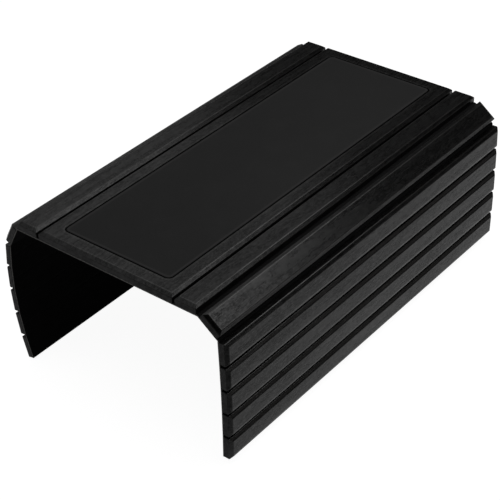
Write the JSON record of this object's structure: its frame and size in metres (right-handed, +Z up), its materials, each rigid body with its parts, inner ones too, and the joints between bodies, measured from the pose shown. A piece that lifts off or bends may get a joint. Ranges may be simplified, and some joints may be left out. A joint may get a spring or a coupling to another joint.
{
  "type": "slatted sofa arm tray",
  "caption": "Flexible tray draped over a sofa arm: a wide board with a flush mat and narrow bevelled slats on a thin backing that folds at every gap.",
  "frame": {"origin": "middle of the underside of the centre board's backing, the face that rests on the sofa's arm", "axes": "+X across the arm to the tray's right side, +Y along the slats, +Z up, out of the top of the board"},
  "size_m": [0.2183, 0.356, 0.1315],
  "materials": {
    "wood": "black stain, satin, fine grain",
    "mat": "smooth matte black sheet",
    "backing": "black, matte, fine weave"
  },
  "bodies": {
    "centre": {"centre_board": "wood", "inlaid_mat": "mat", "centre_backing": "backing"},
    "right_1": {"right_slat_1": "wood", "right_backing_1": "backing"},
    "right_2": {"right_slat_2": "wood", "right_backing_2": "backing"},
    "right_3": {"right_slat_3": "wood", "right_backing_3": "backing"},
    "right_4": {"right_slat_4": "wood", "right_backing_4": "backing"},
    "right_5": {"right_slat_5": "wood", "right_backing_5": "backing"},
    "right_6": {"right_slat_6": "wood", "right_backing_6": "backing"},
    "right_7": {"right_slat_7": "wood", "right_backing_7": "backing"},
    "left_1": {"left_slat_1": "wood", "left_backing_1": "backing"},
    "left_2": {"left_slat_2": "wood", "left_backing_2": "backing"},
    "left_3": {"left_slat_3": "wood", "left_backing_3": "backing"},
    "left_4": {"left_slat_4": "wood", "left_backing_4": "backing"},
    "left_5": {"left_slat_5": "wood", "left_backing_5": "backing"},
    "left_6": {"left_slat_6": "wood", "left_backing_6": "backing"},
    "left_7": {"left_slat_7": "wood", "left_backing_7": "backing"}
  },
  "joints": [
    {"name": "right_fold_1", "type": "hinge", "parent": "centre", "child": "right_1", "pos_m": [0.0651, 0, 0], "axis": [0, 1, 0], "range_deg": [0, 35]},
    {"name": "right_fold_2", "type": "hinge", "parent": "right_1", "child": "right_2", "pos_m": [0.0863, 0, 0], "axis": [0, 1, 0], "range_deg": [-38, 6]},
    {"name": "right_fold_3", "type": "hinge", "parent": "right_2", "child": "right_3", "pos_m": [0.10301, 0, -0.01305], "axis": [0, 1, 0], "range_deg": [-50.5, 3.5]},
    {"name": "right_fold_4", "type": "hinge", "parent": "right_3", "child": "right_4", "pos_m": [0.10356, 0, -0.03424], "axis": [0, 1, 0], "range_deg": [-0.7, 35.3]},
    {"name": "right_fold_5", "type": "hinge", "parent": "right_4", "child": "right_5", "pos_m": [0.10386, 0, -0.05544], "axis": [0, 1, 0], "range_deg": [-0.7, 35.3]},
    {"name": "right_fold_6", "type": "hinge", "parent": "right_5", "child": "right_6", "pos_m": [0.10389, 0, -0.07664], "axis": [0, 1, 0], "range_deg": [-0.7, 35.3]},
    {"name": "right_fold_7", "type": "hinge", "parent": "right_6", "child": "right_7", "pos_m": [0.10367, 0, -0.09784], "axis": [0, 1, 0], "range_deg": [-0.7, 35.3]},
    {"name": "left_fold_1", "type": "hinge", "parent": "centre", "child": "left_1", "pos_m": [-0.0651, 0, 0], "axis": [0, -1, 0], "range_deg": [0, 35]},
    {"name": "left_fold_2", "type": "hinge", "parent": "left_1", "child": "left_2", "pos_m": [-0.0863, 0, 0], "axis": [0, -1, 0], "range_deg": [-61, 1]},
    {"name": "left_fold_3", "type": "hinge", "parent": "left_2", "child": "left_3", "pos_m": [-0.09658, 0, -0.01854], "axis": [0, -1, 0], "range_deg": [-23.5, 18.5]},
    {"name": "left_fold_4", "type": "hinge", "parent": "left_3", "child": "left_4", "pos_m": [-0.09861, 0, -0.03964], "axis": [0, -1, 0], "range_deg": [-5, 27]},
    {"name": "left_fold_5", "type": "hinge", "parent": "left_4", "child": "left_5", "pos_m": [-0.09879, 0, -0.06084], "axis": [0, -1, 0], "range_deg": [-5, 27]},
    {"name": "left_fold_6", "type": "hinge", "parent": "left_5", "child": "left_6", "pos_m": [-0.09713, 0, -0.08198], "axis": [0, -1, 0], "range_deg": [-5, 27]},
    {"name": "left_fold_7", "type": "hinge", "parent": "left_6", "child": "left_7", "pos_m": [-0.09363, 0, -0.10289], "axis": [0, -1, 0], "range_deg": [-5, 27]}
  ]
}
